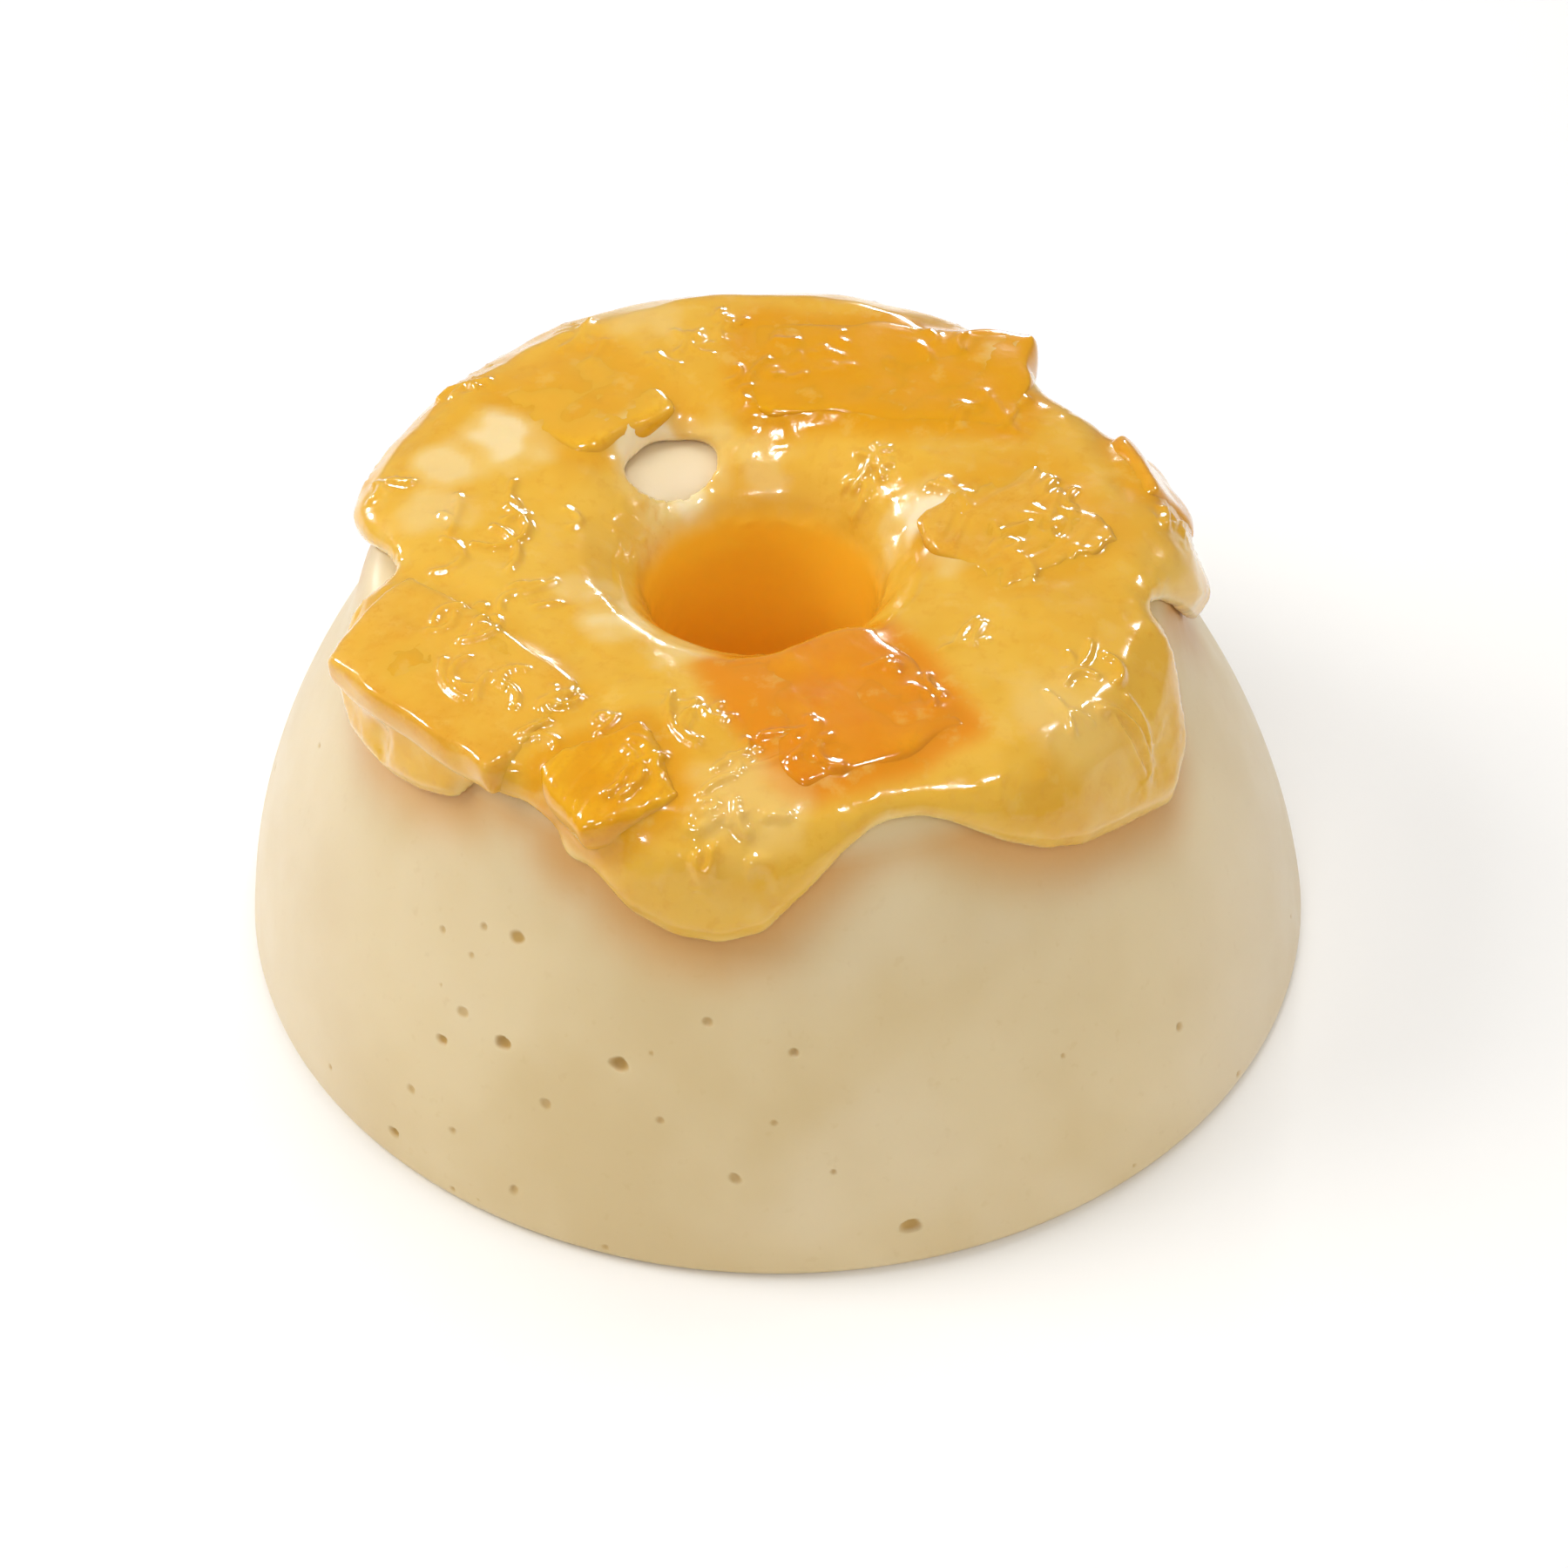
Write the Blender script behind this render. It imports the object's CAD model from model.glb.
import math

import bpy
import numpy as np
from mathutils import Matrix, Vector, noise
from mathutils.bvhtree import BVHTree


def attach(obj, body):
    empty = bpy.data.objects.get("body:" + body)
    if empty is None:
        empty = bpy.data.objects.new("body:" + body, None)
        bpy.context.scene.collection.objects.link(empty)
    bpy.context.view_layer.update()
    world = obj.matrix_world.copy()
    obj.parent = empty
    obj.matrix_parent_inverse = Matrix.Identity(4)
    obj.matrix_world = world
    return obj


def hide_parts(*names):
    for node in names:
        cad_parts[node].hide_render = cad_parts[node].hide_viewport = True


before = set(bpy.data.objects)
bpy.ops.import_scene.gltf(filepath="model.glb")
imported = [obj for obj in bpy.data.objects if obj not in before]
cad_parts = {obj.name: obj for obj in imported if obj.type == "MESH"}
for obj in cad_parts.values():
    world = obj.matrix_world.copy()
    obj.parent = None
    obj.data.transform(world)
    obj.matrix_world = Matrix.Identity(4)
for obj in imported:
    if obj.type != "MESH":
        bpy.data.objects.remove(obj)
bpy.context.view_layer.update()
mm = 0.001


# ---- small helpers

def selectOnly(obj):
    if bpy.context.mode != "OBJECT":
        bpy.ops.object.mode_set(mode="OBJECT")
    bpy.ops.object.select_all(action="DESELECT")
    obj.select_set(True)
    bpy.context.view_layer.objects.active = obj


def applyModifier(obj, kind, **settings):
    selectOnly(obj)
    modifier = obj.modifiers.new(kind.title(), kind)
    for key, value in settings.items():
        setattr(modifier, key, value)
    bpy.ops.object.modifier_apply(modifier=modifier.name)


def copyNode(node, name):
    # a merged copy of a CAD node's mesh; the node itself stays as it is
    obj = bpy.data.objects.new(name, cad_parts[node].data.copy())
    bpy.context.scene.collection.objects.link(obj)
    obj.data.materials.clear()
    selectOnly(obj)
    bpy.ops.object.mode_set(mode="EDIT")
    bpy.ops.mesh.select_all(action="SELECT")
    bpy.ops.mesh.remove_doubles(threshold=0.01 * mm)
    bpy.ops.object.mode_set(mode="OBJECT")
    return obj


def joinInto(target, others):
    selectOnly(target)
    for obj in others:
        obj.select_set(True)
    bpy.ops.object.join()


def places(obj):
    co = np.empty(len(obj.data.vertices) * 3)
    obj.data.vertices.foreach_get("co", co)
    return co.reshape(-1, 3)


def facings(obj):
    out = np.empty(len(obj.data.vertices) * 3)
    obj.data.vertex_normals.foreach_get("vector", out)
    return out.reshape(-1, 3)


def moveTo(obj, co):
    obj.data.vertices.foreach_set("co", np.ascontiguousarray(co).ravel())
    obj.data.update()


def paint(obj, name, values):
    attribute = obj.data.attributes.new(name, "FLOAT", "POINT")
    attribute.data.foreach_set("value", np.asarray(values, dtype=np.float32))


def splitFaces(obj, wanted, closedIn=False):
    # cuts every face that has a wanted vertex into four, and with closedIn the faces shut in by them too
    faces = [any(wanted[v] for v in face.vertices) for face in obj.data.polygons]
    selectOnly(obj)
    bpy.context.tool_settings.mesh_select_mode = (closedIn, False, not closedIn)
    obj.data.vertices.foreach_set("select", np.zeros(len(wanted), bool))
    obj.data.edges.foreach_set("select", np.zeros(len(obj.data.edges), bool))
    obj.data.polygons.foreach_set("select", faces)
    bpy.ops.object.mode_set(mode="EDIT")
    bpy.ops.mesh.select_mode(type="FACE")
    bpy.ops.mesh.subdivide(number_cuts=1, smoothness=0.0)
    bpy.ops.object.mode_set(mode="OBJECT")


def treeOf(obj):
    return BVHTree.FromObject(obj, bpy.context.evaluated_depsgraph_get())


def distances(points, tree, cap):
    # distance in mm to the nearest point of a surface
    found = np.full(len(points), cap)
    for i, point in enumerate(points):
        hit = tree.find_nearest(point, cap * mm)
        if hit[3] is not None:
            found[i] = hit[3] / mm
    return found


def noiseAt(points, size, seed=0.0):
    offset = Vector((seed * 17.3, seed * 5.1, seed * 9.7))
    return np.array([noise.noise(Vector(p) / (size * mm) + offset) for p in points])


def ramp01(values, low, high):
    t = np.clip((values - low) / (high - low), 0, 1)
    return t * t * (3 - 2 * t)


# ---- material helpers

def linear(red, green, blue):
    parts = []
    for value in (red, green, blue):
        value = value / 255
        parts.append(value / 12.92 if value <= 0.04045 else ((value + 0.055) / 1.055) ** 2.4)
    return (*parts, 1.0)


def newMaterial(name):
    made = bpy.data.materials.new(name)
    made.use_nodes = True
    return made, made.node_tree.nodes, made.node_tree.links, made.node_tree.nodes["Principled BSDF"]


def noiseNode(nodes, links, size, detail=3.0, rough=0.5):
    where = nodes.get("Texture Coordinate") or nodes.new("ShaderNodeTexCoord")
    made = nodes.new("ShaderNodeTexNoise")
    made.inputs["Scale"].default_value = 1 / (size * mm)
    made.inputs["Detail"].default_value = detail
    made.inputs["Roughness"].default_value = rough
    links.new(where.outputs["Object"], made.inputs["Vector"])
    return made.outputs["Fac"]


def rescale(nodes, links, value, low, high, outLow=0.0, outHigh=1.0):
    made = nodes.new("ShaderNodeMapRange")
    made.interpolation_type = "SMOOTHSTEP"
    for key, number in zip(("From Min", "From Max", "To Min", "To Max"), (low, high, outLow, outHigh)):
        made.inputs[key].default_value = number
    links.new(value, made.inputs["Value"])
    return made.outputs["Result"]


def mixColours(nodes, links, factor, first, second):
    made = nodes.new("ShaderNodeMix")
    made.data_type = "RGBA"
    colourSockets = [s for s in made.inputs if s.type == "RGBA"]
    for socket, colour in zip(colourSockets, (first, second)):
        if isinstance(colour, tuple):
            socket.default_value = colour
        else:
            links.new(colour, socket)
    factorSocket = next(s for s in made.inputs if s.type == "VALUE" and s.name == "Factor")
    if isinstance(factor, float):
        factorSocket.default_value = factor
    else:
        links.new(factor, factorSocket)
    return next(s for s in made.outputs if s.type == "RGBA")


def addMaths(nodes, links, operation, first, second):
    made = nodes.new("ShaderNodeMath")
    made.operation = operation
    for socket, value in zip(made.inputs, (first, second)):
        if isinstance(value, (int, float)):
            socket.default_value = value
        else:
            links.new(value, socket)
    return made.outputs[0]


def attributeNode(nodes, name):
    made = nodes.new("ShaderNodeAttribute")
    made.attribute_name = name
    return made.outputs["Fac"]


def addBump(nodes, links, shader, height, strength, distance):
    made = nodes.new("ShaderNodeBump")
    made.inputs["Strength"].default_value = strength
    made.inputs["Distance"].default_value = distance * mm
    links.new(height, made.inputs["Height"])
    links.new(made.outputs["Normal"], shader.inputs["Normal"])


# ---- camera, lights and floor come first, so that everything is seen the same way

view = {"target": (0.54, 0.0, 13.43), "distance": 450.0, "elevation": 42.65, "lens": 110.0}


def makeCamera():
    turn = math.radians(view["elevation"])
    target = Vector(view["target"])
    place = target + Vector((0, -math.cos(turn), math.sin(turn))) * view["distance"]
    bpy.ops.object.camera_add(location=place * mm, rotation=(math.pi / 2 - turn, 0, 0))
    camera = bpy.context.object
    camera.data.lens = view["lens"]
    camera.data.sensor_width = 36.0
    camera.data.clip_start = 0.01
    bpy.context.scene.camera = camera


studio = {
    "sky": 0.30,
    # place in mm, size in mm, watts, tint; the soft lamps stay out of the gloss, the glints make it
    "key": ((-360, 0, 360), 260, 1.28, (1.0, 0.99, 0.97)),
    "front": ((-60, -430, 440), 260, 0.74, (1.0, 0.985, 0.96)),
    "fill": ((400, -200, 230), 300, 0.50, (1.0, 0.98, 0.95)),
    "top": ((30, 160, 460), 260, 0.80, (1.0, 0.995, 0.985)),
    "glintLeft": ((-290, 110, 330), 36, 1.05, (1.0, 1.0, 1.0)),
    "glintBack": ((70, 390, 150), 36, 0.95, (1.0, 1.0, 1.0)),
    "glintRight": ((270, 150, 300), 34, 0.95, (1.0, 1.0, 1.0)),
    "glintTop": ((-40, -110, 430), 32, 0.45, (1.0, 1.0, 1.0)),
    "glintHigh": ((150, -70, 430), 30, 0.45, (1.0, 1.0, 1.0)),
    "glintLow": ((-330, 260, 130), 34, 0.55, (1.0, 1.0, 1.0)),
    "glintFront": ((-130, -420, 320), 34, 0.50, (1.0, 1.0, 1.0)),
    "soft": ("key", "front", "fill", "top"),
    "glints": ("glintLeft", "glintBack", "glintRight", "glintTop", "glintHigh", "glintLow",
               "glintFront"),
    "floor": (250, 249, 247),
}


def makeStudio():
    scene = bpy.context.scene
    scene.view_settings.view_transform = "Standard"
    scene.world = bpy.data.worlds.new("studioSky")
    scene.world.use_nodes = True
    sky = scene.world.node_tree.nodes["Background"]
    sky.inputs["Color"].default_value = (1, 1, 1, 1)
    sky.inputs["Strength"].default_value = studio["sky"]
    for name in studio["soft"] + studio["glints"]:
        place, size, watts, tint = studio[name]
        aim = Vector((0, 0, 25)) - Vector(place)
        bpy.ops.object.light_add(type="AREA", location=Vector(place) * mm,
                                 rotation=aim.to_track_quat("-Z", "Y").to_euler())
        lamp = bpy.context.object
        lamp.name = name
        lamp.data.size = size * mm
        lamp.data.energy = watts
        lamp.data.color = tint
        lamp.visible_glossy = name in studio["glints"]
        lamp.visible_diffuse = name in studio["soft"]
    bpy.ops.mesh.primitive_plane_add(size=4.0, location=(0, 0, 0))
    floor = bpy.context.object
    floor.name = "floor"
    made, nodes, links, shader = newMaterial("paleFloor")
    shade = rescale(nodes, links, noiseNode(nodes, links, 400.0), 0.3, 0.7, 0.96, 1.0)
    tone = linear(*studio["floor"])
    links.new(mixColours(nodes, links, shade, (0.85, 0.85, 0.85, 1), tone), shader.inputs["Base Color"])
    shader.inputs["Roughness"].default_value = 0.7
    floor.data.materials.append(made)


# ---- the set cream

pudding = {
    "baseRadius": 50.0, "height": 40.7, "draft": 0.10, "curve": 0.0092, "shoulderStart": 27.5,
    "shoulderPull": (7.2, 6.5), "crownOuter": 31.5, "crownInner": 19.0, "dome": 0.3,
    "wellTop": 11.5, "wellFoot": 9.5, "rimDrop": 7.0, "baseRound": 1.2, "lean": 1.55,
    "sides": 200,
    "unevenness": 0.22,
    # air bubbles on the wall: angle, height, radius, depth
    "bubbles": (
        (239, 18.2, 0.80, 0.55), (253, 19.6, 0.80, 0.55), (231, 15.8, 0.60, 0.35), (226, 3.7, 0.60, 0.4),
        (238, 27.0, 0.75, 0.25), (233, 26.6, 0.40, 0.2), (273, 21.9, 0.45, 0.35), (266, 10.7, 0.50, 0.3),
        (284, 4.7, 0.90, 0.5), (263, 24.2, 0.40, 0.25), (242, 4.7, 0.50, 0.25), (245, 14.4, 0.50, 0.25),
        (233, 19.1, 0.55, 0.2), (228, 9.5, 0.45, 0.2), (258, 15.4, 0.40, 0.2), (320, 12.0, 0.45, 0.25),
    ),
    "tinyBubbles": 46, "crowdTowards": -125,
    "bubbleRings": (2.2, 1.7, 1.5),  # how far round a bubble each splitting reaches, in radii
    "cream": (222, 201, 158), "creamDeep": (213, 189, 141), "creamPale": (230, 213, 180),
    "sideTone": (230, 216, 194),
    "bubbleTone": (190, 154, 88), "stain": (205, 150, 78),
}


def puddingOutline(fine=1.0):
    # radius and height, from the base up the wall, over the crown and down the well
    p = pudding
    points = []
    for i in range(6):
        angle = math.pi / 2 * i / 6
        points.append((p["baseRadius"] - 0.13 - p["baseRound"] * (1 - math.sin(angle)),
                       p["baseRound"] * (1 - math.cos(angle))))
    wallSteps = int(30 * fine)
    for i in range(wallSteps + 1):
        h = p["baseRound"] + (p["shoulderStart"] - p["baseRound"]) * i / wallSteps
        points.append((p["baseRadius"] - p["draft"] * h - p["curve"] * h * h, h))
    start = Vector(points[-1])
    end = Vector((p["crownOuter"], p["height"]))
    leave = start + Vector((-(p["draft"] + 2 * p["curve"] * p["shoulderStart"]), 1)) * p["shoulderPull"][0]
    arrive = end + Vector((1, 0)) * p["shoulderPull"][1]
    for i in range(1, 19):
        t = i / 18
        u = 1 - t
        found = start * u**3 + leave * 3 * u * u * t + arrive * 3 * u * t * t + end * t**3
        points.append(tuple(found))
    for i in range(1, 13):
        t = i / 12
        points.append((p["crownOuter"] + (p["crownInner"] - p["crownOuter"]) * t,
                       p["height"] + p["dome"] * math.sin(math.pi * t)))
    for i in range(1, 15):
        angle = math.pi / 2 * i / 14
        points.append((p["crownInner"] - (p["crownInner"] - p["wellTop"]) * math.sin(angle),
                       p["height"] - p["rimDrop"] * (1 - math.cos(angle))))
    wellHead = p["height"] - p["rimDrop"]
    for i in range(1, 19):
        t = i / 18
        points.append((p["wellTop"] + (p["wellFoot"] - p["wellTop"]) * t, wellHead * (1 - t)))
    return points


def makePudding():
    outline = puddingOutline()
    bpy.ops.mesh.primitive_circle_add(vertices=pudding["sides"], radius=outline[0][0] * mm,
                                      location=(0, 0, 0), fill_type="NOTHING")
    body = bpy.context.object
    body.name = "puddingBody"
    bpy.ops.object.mode_set(mode="EDIT")
    bpy.ops.mesh.select_all(action="SELECT")
    for (r0, h0), (r1, h1) in zip(outline, outline[1:]):
        bpy.ops.mesh.extrude_region_move(TRANSFORM_OT_translate={"value": (0, 0, (h1 - h0) * mm)})
        bpy.ops.transform.resize(value=(r1 / r0, r1 / r0, 1), center_override=(0, 0, h1 * mm))
    bpy.ops.mesh.select_all(action="DESELECT")
    bpy.ops.mesh.select_mode(type="EDGE")
    bpy.ops.mesh.select_non_manifold(extend=False)
    bpy.ops.mesh.bridge_edge_loops()
    bpy.ops.mesh.select_mode(type="VERT")
    bpy.ops.mesh.select_all(action="SELECT")
    bpy.ops.mesh.normals_make_consistent(inside=False)
    bpy.ops.object.mode_set(mode="OBJECT")
    return body


def wallPoint(degrees, height):
    p = pudding
    radius = p["baseRadius"] - p["draft"] * height - p["curve"] * height * height
    angle = math.radians(degrees)
    return Vector((radius * math.cos(angle), radius * math.sin(angle), height)) * mm


def bubbleList():
    found = [(wallPoint(a, h), r, d) for a, h, r, d in pudding["bubbles"]]
    rng = np.random.default_rng(7)
    for _ in range(pudding["tinyBubbles"]):
        angle = rng.uniform(-180, 180)
        crowd = 0.5 + 0.5 * math.cos(math.radians(angle - pudding["crowdTowards"]))  # mostly front left
        if rng.uniform() > 0.25 + 0.75 * crowd:
            continue
        height = 1.5 + 25 * rng.uniform() ** 1.4
        radius = rng.uniform(0.16, 0.36)
        found.append((wallPoint(angle, height), radius, radius * rng.uniform(0.4, 0.7)))
    return found


def pressBubbles(body):
    bubbles = bubbleList()
    for reach in pudding["bubbleRings"]:  # a finer mesh where the bubbles are
        co = places(body)
        near = np.zeros(len(co), bool)
        for place, radius, depth in bubbles:
            near |= np.linalg.norm(co - np.array(place), axis=1) < (radius * reach + 0.7) * mm
        splitFaces(body, near, closedIn=True)
    co = places(body)
    out = facings(body)
    sink = np.zeros(len(co))
    hollow = np.zeros(len(co))
    for i, (place, radius, depth) in enumerate(bubbles):
        away = co - np.array(place)
        near = np.linalg.norm(away, axis=1) < radius * 2.2 * mm
        index = np.nonzero(near)[0]
        if not len(index):
            continue
        stretch = np.array([1.0, 1.0, 1.25 if radius > 0.5 else 1.0])
        wobble = 1 + 0.35 * noiseAt(co[index], 0.9, i)
        dist = np.linalg.norm(away[index] * stretch, axis=1) / (radius * mm) * wobble
        cup = np.sqrt(np.clip(1 - dist**2, 0, 1))
        sink[index] = np.maximum(sink[index], depth * cup)
        tone = ramp01(-dist, -1.15, -0.55) * (1.0 if radius > 0.55 else 0.6)
        hollow[index] = np.maximum(hollow[index], tone)
    moveTo(body, co - out * (sink * mm)[:, None])
    return hollow


def leanPudding(body):
    # slightly uneven walls, and the whole leans a little to the left
    co = places(body)
    slow = noiseAt(co, 26.0, 1) * 0.7 + noiseAt(co, 9.0, 2) * 0.3
    free = ramp01(co[:, 2], 1.5 * mm, 6 * mm)
    co = co + facings(body) * (slow * pudding["unevenness"] * free * mm)[:, None]
    co[:, 0] -= pudding["lean"] / pudding["height"] * co[:, 2]
    moveTo(body, co)


def paintPudding(body, glazeTree, hollow):
    co = places(body)
    paint(body, "hollow", hollow)
    stain = 1 - ramp01(distances(co, glazeTree, 8.0), 0.0, 7.5)  # sauce soaks into the wall below it
    paint(body, "stain", stain**1.3 * 0.9 * ramp01(-co[:, 2], -39.5 * mm, -36.5 * mm))
    angle = math.radians(sauce["gap"][0])
    gapPlace = np.array([math.cos(angle), math.sin(angle)]) * sauce["gap"][1] * mm
    gapPlace[0] -= pudding["lean"] * mm
    away = np.linalg.norm(co[:, :2] - gapPlace, axis=1) / mm
    paint(body, "bright", (1 - ramp01(away, 4.0, 8.0)) * (co[:, 2] > 34 * mm))
    paint(body, "paleSide", ramp01(np.abs(co[:, 0]), 30 * mm, 49 * mm) * 0.5)


def creamMaterial():
    made, nodes, links, shader = newMaterial("setCream")
    p = pudding
    cloud = noiseNode(nodes, links, 22.0, 3.0)
    speck = noiseNode(nodes, links, 1.4, 2.0)
    colour = mixColours(nodes, links, rescale(nodes, links, cloud, 0.35, 0.65), linear(*p["creamDeep"]),
                        linear(*p["cream"]))
    pale = rescale(nodes, links, noiseNode(nodes, links, 16.0, 2.0), 0.50, 0.75, 0.0, 0.3)
    colour = mixColours(nodes, links, pale, colour, linear(*p["creamPale"]))
    fleck = rescale(nodes, links, speck, 0.62, 0.78, 0.0, 0.12)
    colour = mixColours(nodes, links, fleck, colour, linear(*p["bubbleTone"]))
    colour = mixColours(nodes, links, attributeNode(nodes, "stain"), colour, linear(*p["stain"]))
    colour = mixColours(nodes, links, attributeNode(nodes, "paleSide"), colour, linear(*p["sideTone"]))
    colour = mixColours(nodes, links, attributeNode(nodes, "bright"), colour, linear(*sauce["gapTone"]))
    colour = mixColours(nodes, links, attributeNode(nodes, "hollow"), colour, linear(*p["bubbleTone"]))
    links.new(colour, shader.inputs["Base Color"])
    gloss = rescale(nodes, links, noiseNode(nodes, links, 6.0, 3.0), 0.3, 0.7, 0.36, 0.52)
    links.new(gloss, shader.inputs["Roughness"])
    shader.inputs["Specular IOR Level"].default_value = 0.38
    shader.inputs["Subsurface Weight"].default_value = 0.2
    shader.inputs["Subsurface Radius"].default_value = (1.0, 0.7, 0.4)
    shader.inputs["Subsurface Scale"].default_value = 2.5 * mm
    grain = noiseNode(nodes, links, 0.7, 4.0, 0.6)
    addBump(nodes, links, shader, grain, 0.14, 0.12)
    return made


# ---- the sauce

sauce = {
    "voxel": 0.50, "fillIn": 1.2, "settle": 0.30, "meltSteps": 20, "calmAbove": 44.3,
    "lumps": 0.34, "ripples": 0.13,
    # folds in the skin of the sauce, in groups: centre x and y, spread, how many, mean length, heading
    "folds": (
        (-23.0, -1.0, 0.6, 2, 7.0, 112), (-28.2, 3.0, 0.8, 2, 3.0, 70), (-28.0, -3.5, 0.6, 1, 5.5, 78),
        (-24.0, 4.5, 1.2, 3, 3.0, 120), (-18.0, 3.4, 0.5, 1, 2.2, 110), (-22.0, -7.0, 1.6, 4, 2.4, 40),
        (-26.0, -12.5, 2.6, 8, 2.2, 50), (-24.6, -20.5, 1.6, 4, 3.0, 110), (-19.5, -21.6, 1.3, 3, 2.6, 40),
        (-28.6, -19.8, 0.8, 2, 3.6, 110), (-21.0, -26.2, 1.3, 2, 2.6, 10), (-15.0, -24.4, 0.8, 2, 2.4, 60),
        (-8.0, -25.0, 0.7, 3, 4.6, 105), (-5.0, -24.0, 0.6, 2, 2.8, 125), (-2.5, -29.5, 2.6, 7, 2.6, 30),
        (3.5, -27.6, 1.3, 4, 3.4, 75), (-7.4, -36.8, 1.9, 3, 1.6, 20), (-1.6, -36.6, 1.9, 3, 1.6, 150),
        (-4.6, -34.6, 1.6, 2, 1.6, 60),
        (-12.6, -31.0, 2.2, 7, 3.0, 70), (16.4, -13.4, 0.8, 3, 2.6, 50), (28.0, -18.0, 1.2, 4, 2.4, 60),
        (25.4, -22.2, 0.7, 2, 2.8, 0), (31.0, -21.0, 1.4, 4, 3.0, 140), (8.5, -18.0, 1.0, 2, 1.6, 30),
        (13.2, -21.5, 1.0, 2, 2.6, 110), (21.0, -1.0, 1.8, 7, 2.8, 80), (28.0, -2.0, 0.6, 1, 3.2, 20),
        (24.5, 4.5, 1.9, 7, 2.0, 120), (9.2, 11.4, 1.2, 5, 2.6, 100), (15.2, 6.8, 1.2, 3, 3.0, 130),
        (20.5, 16.5, 1.1, 3, 3.6, 60), (16.5, 17.0, 0.8, 2, 2.4, 95), (-8.0, 27.4, 1.0, 4, 3.4, 120),
        (-4.4, 30.0, 1.2, 3, 3.0, 100), (-18.7, 27.4, 1.4, 4, 2.6, 80), (-11.0, 24.0, 1.0, 3, 1.8, 140),
        (2.0, 24.5, 3.6, 8, 1.6, 60), (15.0, 28.0, 1.8, 3, 1.8, 110), (-3.0, 22.0, 1.4, 4, 2.2, 100),
        (-36.0, 8.0, 1.0, 2, 3.0, 100), (-30.0, 22.0, 1.0, 2, 2.6, 20), (36.0, 5.0, 1.2, 3, 2.0, 90),
    ),
    "bead": (-16.6, -32.6, 37.0, 1.8), "gap": (122, 16.0), "gapTone": (232, 213, 176),
    "foldHeight": 0.50, "foldWidth": 0.42, "foldTurn": 28, "foldBend": 1.0,
    "thin": (234, 206, 136), "bare": (242, 224, 184), "haze": (238, 200, 104),
    "mottleDeep": (206, 138, 14), "golden": (228, 179, 64), "deep": (218, 160, 36),
    "wellTone": (250, 190, 50), "amber": (219, 150, 0), "orange": (220, 133, 0),
    # thin places where the cream shows through: angle, radius, size, strength
    "paleSpots": (
        (14, 15.5, 5.0, 0.95), (-4, 17.0, 4.0, 0.6), (222, 16.0, 5.0, 0.65), (243, 15.5, 4.0, 0.55),
        (203, 16.0, 4.0, 0.4), (150, 27.0, 6.0, 0.7), (161, 30.0, 5.5, 0.6), (172, 30.0, 5.0, 0.5),
        (88, 14.0, 3.5, 0.4), (268, 34.0, 6.0, 0.4), (320, 35.0, 7.0, 0.35), (122, 16.0, 7.0, 1.0),
        (45, 35.0, 5.0, 0.8), (-3, 39.5, 6.0, 0.25), (110, 34.0, 5.0, 0.4),
    ),
}

fruitNodes = [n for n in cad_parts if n.startswith("fruit_piece")]


def copyOf(obj, name):
    made = bpy.data.objects.new(name, obj.data.copy())
    bpy.context.scene.collection.objects.link(made)
    return made


def makeGlaze(pieces):
    glaze = copyNode("fruit_sauce", "sauceGlaze")
    pool = copyNode("well_sauce", "poolPart")
    joinInto(glaze, [pool])
    applyModifier(glaze, "DISPLACE", strength=0.1 * mm, mid_level=0.0)
    cores = []
    for node, piece in pieces.items():
        core = copyOf(piece, node + "Core")
        applyModifier(core, "DISPLACE", strength=-fruit[node]["stand"] * mm - 0.2 * mm, mid_level=0.0)
        cores.append(core)
        for step, depth in enumerate(fruit[node]["under"]):  # fills in below an overhang
            under = copyOf(core, node + "Under" + str(step))
            co = places(under)
            middle = co.mean(axis=0)
            inwards = (Vector((0, 0, 26 * mm)) - Vector(middle)).normalized() * depth * mm
            moveTo(under, middle + (co - middle) * 0.92 + np.array(inwards))
            cores.append(under)
    x, y, z, size = sauce["bead"]  # closes the notch beside the front left piece
    bpy.ops.mesh.primitive_uv_sphere_add(radius=size * mm, location=(0, 0, 0))
    bead = bpy.context.object
    moveTo(bead, places(bead) + np.array([x, y, z]) * mm)
    cores.append(bead)
    joinInto(glaze, cores)
    glaze.name = "sauceGlaze"
    voxel = sauce["voxel"] * mm
    applyModifier(glaze, "DISPLACE", strength=(sauce["fillIn"] + sauce["settle"] - 0.1) * mm, mid_level=0.0)
    applyModifier(glaze, "REMESH", mode="VOXEL", voxel_size=voxel)
    applyModifier(glaze, "SMOOTH", factor=0.5, iterations=4)
    applyModifier(glaze, "DISPLACE", strength=-sauce["fillIn"] * mm, mid_level=0.0)
    applyModifier(glaze, "REMESH", mode="VOXEL", voxel_size=voxel)
    applyModifier(glaze, "SMOOTH", factor=0.5, iterations=6)
    return glaze


def meltEdges(glaze, pieces):
    # the sauce runs softly up over the edges of the fruit
    co = places(glaze)
    near = np.zeros(len(co))
    for piece in pieces.values():
        near = np.maximum(near, 1 - ramp01(distances(co, treeOf(piece), 4.0), 1.6, 3.6))
    near *= ramp01(facings(glaze)[:, 2], -0.1, 0.3)
    group = glaze.vertex_groups.new(name="melt")
    for step in range(1, 11):
        picked = np.nonzero(np.round(near * 10) == step)[0]
        group.add(picked.tolist(), step / 10, "REPLACE")
    applyModifier(glaze, "SMOOTH", factor=0.5, iterations=sauce["meltSteps"], vertex_group="melt")


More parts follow.
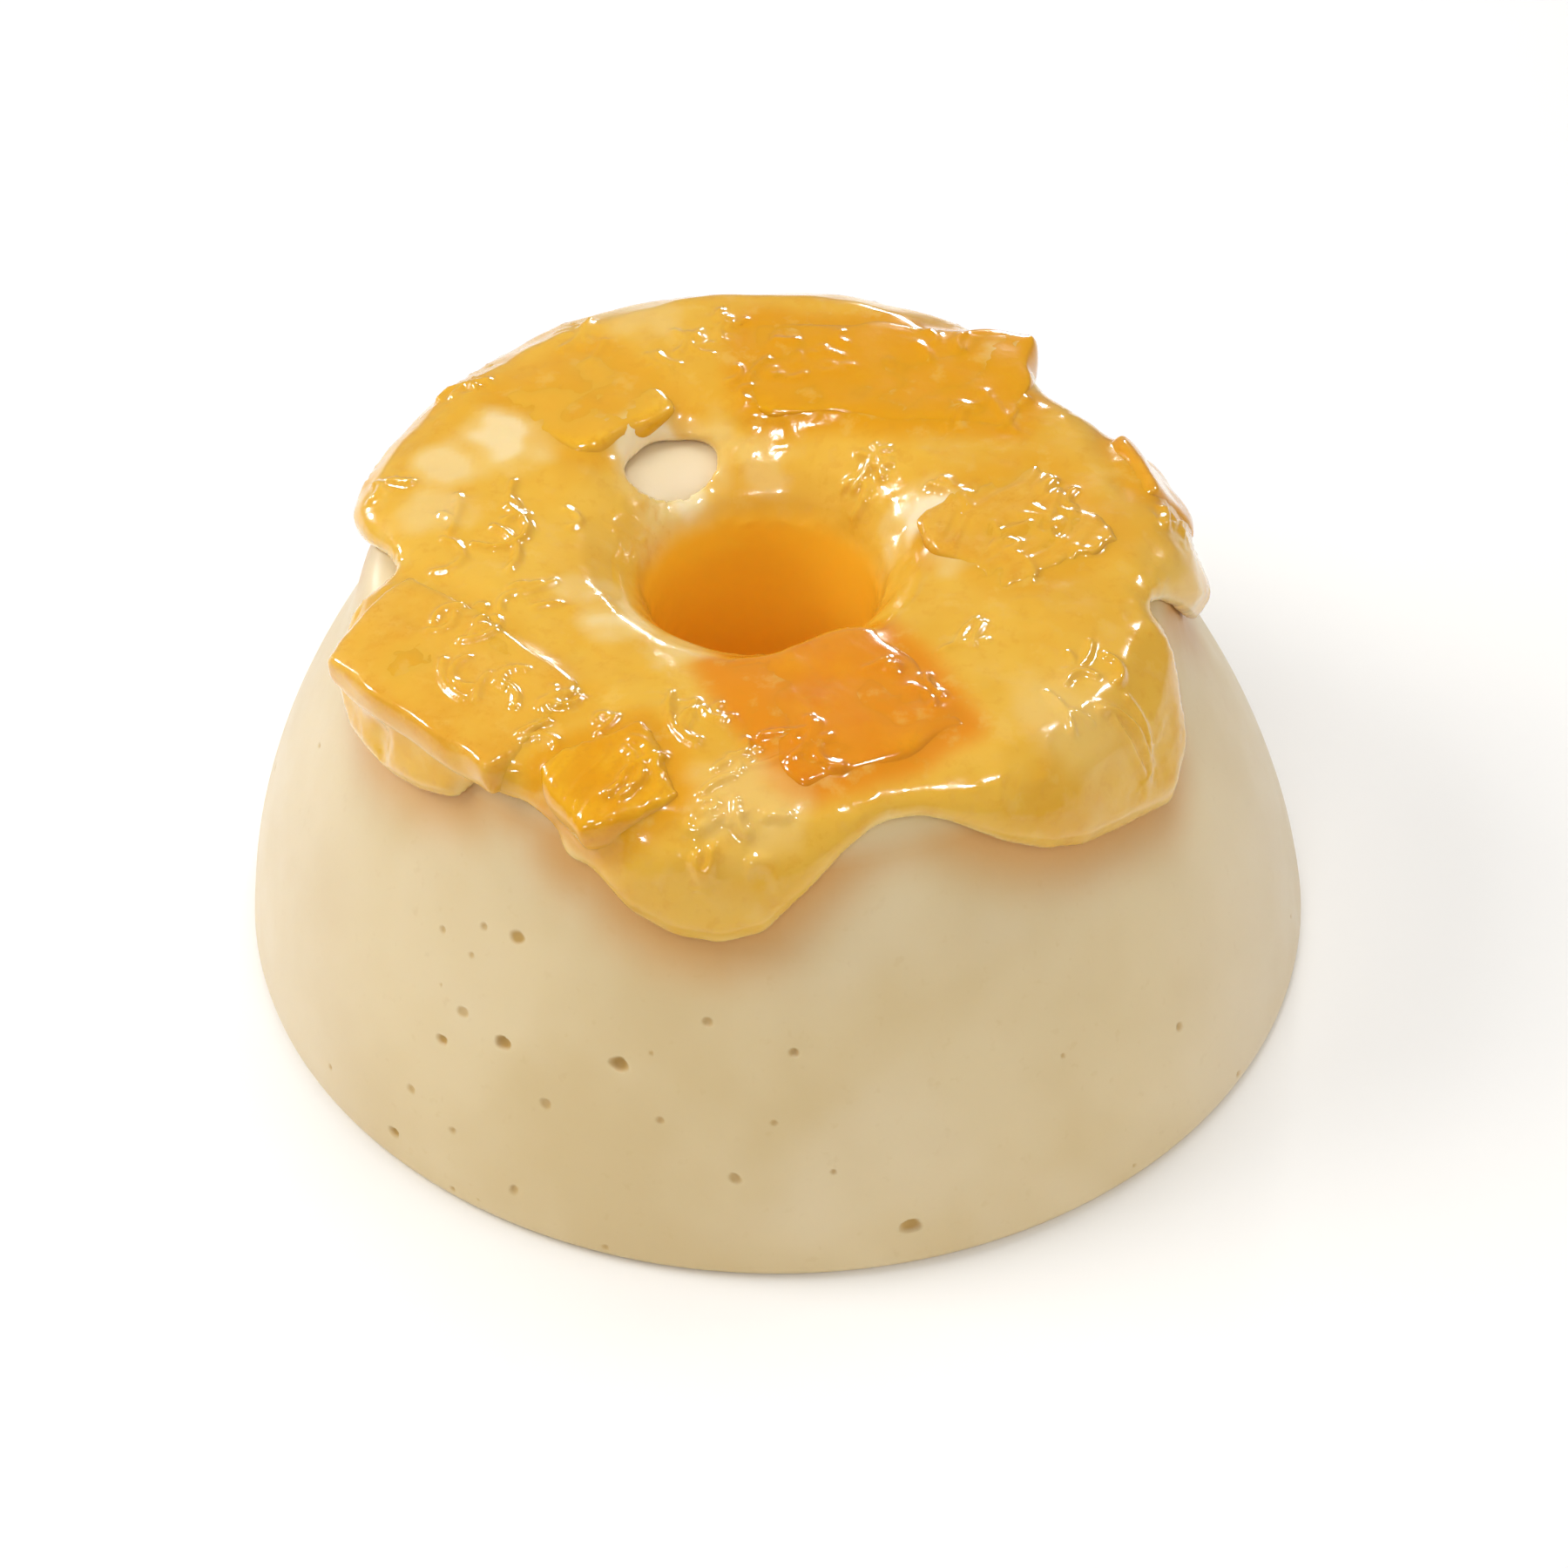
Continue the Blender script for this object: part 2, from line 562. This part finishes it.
def foldStrands():
    # each strand is a short bent line in plan
    rng = np.random.default_rng(21)
    strands = []
    for x, y, spread, count, length, heading in sauce["folds"]:
        for i in range(count):
            middle = np.array([x, y]) + rng.normal(0, spread * 0.8, 2)
            turn = math.radians(heading + rng.normal(0, sauce["foldTurn"]))
            bend = rng.normal(0, sauce["foldBend"])
            size = length * rng.uniform(0.8, 1.6)
            line = []
            for t in np.linspace(-0.5, 0.5, 7):
                here = turn + bend * t
                line.append(middle + size * t * np.array([math.cos(here), math.sin(here)]))
            strands.append((np.array(line), rng.uniform(0.6, 1.15)))
    return strands


def foldHeights(co):
    flat = co[:, :2] / mm
    heights = np.zeros(len(co))
    for line, share in foldStrands():
        near = np.nonzero(np.linalg.norm(flat - line.mean(axis=0), axis=1) < 6.5)[0]
        best = np.full(len(near), 9.0)
        for a, b in zip(line, line[1:]):
            along = b - a
            t = np.clip(((flat[near] - a) @ along) / (along @ along), 0, 1)
            best = np.minimum(best, np.linalg.norm(flat[near] - a - t[:, None] * along, axis=1))
        heights[near] = np.maximum(heights[near], share * np.exp(-(best / sauce["foldWidth"]) ** 2))
    return heights * sauce["foldHeight"]


def refineFolds(obj):
    # a finer mesh where the folds are
    splitFaces(obj, (foldHeights(places(obj)) > 0.02) & (facings(obj)[:, 2] > 0))


def rippleHeight(co, out):
    # soft lumps all over, and fine wandering ridges gathered in patches
    lumps = noiseAt(co, 6.5, 3) * 0.7 + noiseAt(co, 3.2, 4) * 0.3
    patches = ramp01(noiseAt(co, 7.0, 5), -0.02, 0.22)
    bend = np.stack([noiseAt(co, 3.0, 6), noiseAt(co, 3.0, 7), noiseAt(co, 3.0, 8)], axis=1) * 1.1 * mm
    ridges = (1 - np.abs(noiseAt(co + bend, 1.7, 9)) * 2.6).clip(0, 1) ** 2
    up = ramp01(out[:, 2], -0.1, 0.4)
    soft = sauce["lumps"] * lumps + sauce["ripples"] * ridges * patches
    return (soft + foldHeights(co)) * up


def keepInside(piece):
    # nothing stands higher than the part itself, or lower than its base
    co = places(piece)
    over = co[:, 2] - sauce["calmAbove"] * mm
    co[:, 2] -= np.where(over > 0, over * 0.55, 0)
    co[:, 2] = np.maximum(co[:, 2], 0.2 * mm)
    moveTo(piece, co)


def paintGlaze(glaze, body, pieces):
    co = places(glaze)
    thick = distances(co, treeOf(body), 3.2)
    paint(glaze, "depth", thick)
    shows = {"amber": np.zeros(len(co)), "orange": np.zeros(len(co))}  # fruit seen through the sauce
    for node, piece in pieces.items():
        near = 1 - ramp01(distances(co, treeOf(piece), 4.0), 0.2, 3.0)
        tone = fruit[node]["through"]
        shows[tone[0]] = np.maximum(shows[tone[0]], near * tone[1])
    for tone, values in shows.items():
        paint(glaze, tone, values)
    straight = co[:, 0] + pudding["lean"] / pudding["height"] * co[:, 2]
    radius = np.hypot(straight, co[:, 1]) / mm
    paint(glaze, "inWell", ramp01(-co[:, 2], -38.6 * mm, -35.5 * mm) * (radius < 16))
    pale = np.zeros(len(co))
    ragged = noiseAt(co, 4.0, 17) * 2.4 + noiseAt(co, 1.8, 18) * 1.0
    for degrees, r, size, strength in sauce["paleSpots"]:
        angle = math.radians(degrees)
        away = np.hypot(straight - r * math.cos(angle) * mm, co[:, 1] - r * math.sin(angle) * mm) / mm
        away += ragged
        pale = np.maximum(pale, strength * (1 - ramp01(away, size * 0.25, size)))
    pale *= ramp01(co[:, 2], 24 * mm, 28 * mm)
    paint(glaze, "pale", pale)


def wetFinish(nodes, links, shader, bumpSize=1.1):
    gloss = rescale(nodes, links, noiseNode(nodes, links, 3.5, 3.0), 0.3, 0.7, 0.10, 0.24)
    links.new(gloss, shader.inputs["Roughness"])
    shader.inputs["Specular IOR Level"].default_value = 0.2
    shader.inputs["Coat Weight"].default_value = 0.8
    shader.inputs["Coat Roughness"].default_value = 0.05
    shader.inputs["Coat IOR"].default_value = 1.4
    shader.inputs["Subsurface Weight"].default_value = 0.2
    shader.inputs["Subsurface Radius"].default_value = (1.0, 0.5, 0.12)
    shader.inputs["Subsurface Scale"].default_value = 2.5 * mm
    addBump(nodes, links, shader, noiseNode(nodes, links, bumpSize, 2.0), 0.12, 0.25)


def glazeMaterial():
    made, nodes, links, shader = newMaterial("fruitGlaze")
    s = sauce
    depth = attributeNode(nodes, "depth")
    wander = rescale(nodes, links, noiseNode(nodes, links, 8.0, 3.0), 0.25, 0.75, -0.7, 0.7)
    depth = addMaths(nodes, links, "ADD", depth, wander)
    colour = mixColours(nodes, links, rescale(nodes, links, depth, 0.3, 1.8), linear(*s["thin"]),
                        linear(*s["golden"]))
    colour = mixColours(nodes, links, rescale(nodes, links, depth, 2.0, 3.8, 0.0, 0.7), colour,
                        linear(*s["deep"]))
    blotch = rescale(nodes, links, noiseNode(nodes, links, 11.0, 2.0), 0.5, 0.7, 0.0, 0.4)
    colour = mixColours(nodes, links, blotch, colour, linear(*s["deep"]))
    colour = mixColours(nodes, links, attributeNode(nodes, "amber"), colour, linear(*s["amber"]))
    colour = mixColours(nodes, links, attributeNode(nodes, "orange"), colour, linear(*s["orange"]))
    mottle = rescale(nodes, links, noiseNode(nodes, links, 1.3, 3.0, 0.6), 0.50, 0.68, 0.0, 0.22)
    colour = mixColours(nodes, links, mottle, colour, linear(*s["mottleDeep"]))
    haze = rescale(nodes, links, noiseNode(nodes, links, 2.6, 4.0, 0.6), 0.52, 0.70, 0.0, 0.28)
    colour = mixColours(nodes, links, haze, colour, linear(*s["haze"]))
    pale = attributeNode(nodes, "pale")
    colour = mixColours(nodes, links, pale, colour, linear(*s["thin"]))
    colour = mixColours(nodes, links, rescale(nodes, links, pale, 0.45, 1.0), colour, linear(*s["bare"]))
    colour = mixColours(nodes, links, attributeNode(nodes, "inWell"), colour, linear(*s["wellTone"]))
    links.new(colour, shader.inputs["Base Color"])
    wetFinish(nodes, links, shader)
    return made


# ---- the pieces of fruit

# flesh, deep, strand: the tones of the flesh; fibres: their height in mm; turn: which way they run
# soften: how far corners are rounded; wander: how uneven the outline is, in mm
# stand: how far the top stands out of the sauce, in mm; under: depths of sauce filled in below, in mm
# through: how the sauce over the piece is tinted, and how strongly
fruit = {
    "fruit_piece_front": {
        "flesh": (224, 145, 6), "deep": (216, 126, 0), "strand": (226, 152, 20), "fibres": 0.03,
        "turn": -62, "soften": 110, "stand": 0.04, "wander": 1.3, "under": (1.5,),
        "through": ("orange", 0.95),
    },
    "fruit_piece_front_left": {
        "flesh": (228, 166, 20), "deep": (220, 150, 4), "strand": (232, 178, 44), "fibres": 0.14,
        "turn": 60, "soften": 26, "stand": 0.2, "wander": 0.8, "under": (1.2, 2.4),
        "through": ("amber", 0.9),
    },
    "fruit_piece_left": {
        "flesh": (226, 174, 66), "deep": (220, 160, 44), "strand": (232, 190, 92), "fibres": 0.04,
        "turn": -41, "soften": 26, "stand": 0.14, "wander": 0.6, "under": (1.5,),
        "through": ("amber", 0.3),
    },
    "fruit_piece_back": {
        "flesh": (225, 160, 0), "deep": (220, 150, 0), "strand": (232, 174, 14), "fibres": 0.04,
        "turn": -6, "soften": 70, "stand": 0.05, "wander": 1.3, "under": (1.5,),
        "through": ("amber", 1.0),
    },
    "fruit_piece_right": {
        "flesh": (224, 168, 56), "deep": (216, 152, 30), "strand": (234, 190, 92), "fibres": 0.2,
        "turn": 60, "soften": 50, "stand": 0.14, "wander": 1.3, "under": (1.5,),
        "through": ("amber", 0.45),
    },
    "fruit_piece_back_left": {
        "flesh": (230, 176, 44), "deep": (226, 166, 28), "strand": (232, 186, 66), "fibres": 0.04,
        "turn": 38, "soften": 90, "stand": 0.04, "wander": 1.5, "under": (),
        "through": ("amber", 0.5),
    },
    "fruit_piece_corner": {
        "flesh": (224, 158, 34), "deep": (216, 142, 16), "strand": (228, 160, 40), "fibres": 0.06,
        "turn": 110, "soften": 60, "stand": 0.1, "wander": 1.0, "under": (1.5,),
        "through": ("amber", 0.8),
    },
}


def makeFruit(node):
    look = fruit[node]
    piece = copyNode(node, node.replace("fruit_piece_", "fruit") + "Flesh")
    applyModifier(piece, "DISPLACE", strength=0.2 * mm, mid_level=0.0)
    applyModifier(piece, "REMESH", mode="VOXEL", voxel_size=0.26 * mm)
    co = places(piece)
    wander = np.stack([noiseAt(co, 5.0, 31), noiseAt(co, 5.0, 32), np.zeros(len(co))], axis=1)
    moveTo(piece, co + wander * look["wander"] * mm)
    applyModifier(piece, "SMOOTH", factor=0.5, iterations=look["soften"])
    return piece


def carveFruit(node, piece):
    look = fruit[node]
    co = places(piece)
    out = facings(piece)
    turn = math.radians(look["turn"])
    across = co[:, 0] * -math.sin(turn) + co[:, 1] * math.cos(turn)
    along = co[:, 0] * math.cos(turn) + co[:, 1] * math.sin(turn)
    bend = noiseAt(co, 5.0, 11) * 1.6 * mm
    grain = np.stack([along * 0.22, across + bend, co[:, 2] * 0.3], axis=1)
    fibres = (1 - np.abs(noiseAt(grain, 1.3, 12)) * 2.4).clip(0, 1) - 0.4
    lumps = noiseAt(co, 4.0, 13) * 0.18
    up = ramp01(out[:, 2], 0.0, 0.6)
    relief = fibres * look["fibres"] + lumps + foldHeights(co)
    moveTo(piece, co + out * (relief * up * mm)[:, None])


def fleshMaterial(node):
    look = fruit[node]
    made, nodes, links, shader = newMaterial(node.replace("fruit_piece_", "flesh_"))
    cloud = rescale(nodes, links, noiseNode(nodes, links, 5.0, 4.0), 0.35, 0.65)
    colour = mixColours(nodes, links, cloud, linear(*look["deep"]), linear(*look["flesh"]))
    strand = rescale(nodes, links, noiseNode(nodes, links, 1.6, 3.0), 0.55, 0.75, 0.0, 0.35)
    colour = mixColours(nodes, links, strand, colour, linear(*look["strand"]))
    mottle = rescale(nodes, links, noiseNode(nodes, links, 0.9, 3.0, 0.65), 0.50, 0.66, 0.0, 0.30)
    colour = mixColours(nodes, links, mottle, colour, linear(*sauce["mottleDeep"]))
    veil = rescale(nodes, links, attributeNode(nodes, "rise"), 0.0, 0.3, 0.9, 0.0)
    through, strength = look["through"]
    edge = mixColours(nodes, links, strength, linear(*sauce["golden"]), linear(*sauce[through]))
    colour = mixColours(nodes, links, veil, colour, edge)
    links.new(colour, shader.inputs["Base Color"])
    wetFinish(nodes, links, shader, 0.9)
    return made


# ---- making it all

makeCamera()
makeStudio()
print("studio ready")

body = makePudding()
hollow = pressBubbles(body)
leanPudding(body)
print("pudding ready", len(body.data.polygons))

pieces = {node: makeFruit(node) for node in fruitNodes}
print("fruit shaped")
glaze = makeGlaze(pieces)
print("glaze ready", len(glaze.data.polygons))
meltEdges(glaze, pieces)
for node, piece in pieces.items():
    carveFruit(node, piece)
refineFolds(glaze)
co = places(glaze)
out = facings(glaze)
moveTo(glaze, co + out * (rippleHeight(co, out) * mm)[:, None])
print("sauce folded, triangles:", sum(len(f.vertices) - 2 for f in glaze.data.polygons))
for piece in (glaze, *pieces.values()):
    keepInside(piece)
paintGlaze(glaze, body, pieces)
print("sauce painted")

glazeTree = treeOf(glaze)
paintPudding(body, glazeTree, hollow)
for node, piece in pieces.items():
    paint(piece, "rise", distances(places(piece), glazeTree, 3.0))

body.data.materials.append(creamMaterial())
glaze.data.materials.append(glazeMaterial())
for node, piece in pieces.items():
    piece.data.materials.append(fleshMaterial(node))
for piece in (body, glaze, *pieces.values()):
    selectOnly(piece)
    bpy.ops.object.shade_smooth()

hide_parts("pudding")
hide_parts("fruit_sauce", "well_sauce")
for node, piece in pieces.items():
    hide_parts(node)
for piece in (body, glaze, *pieces.values()):
    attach(piece, "root")
print("pieces riding")
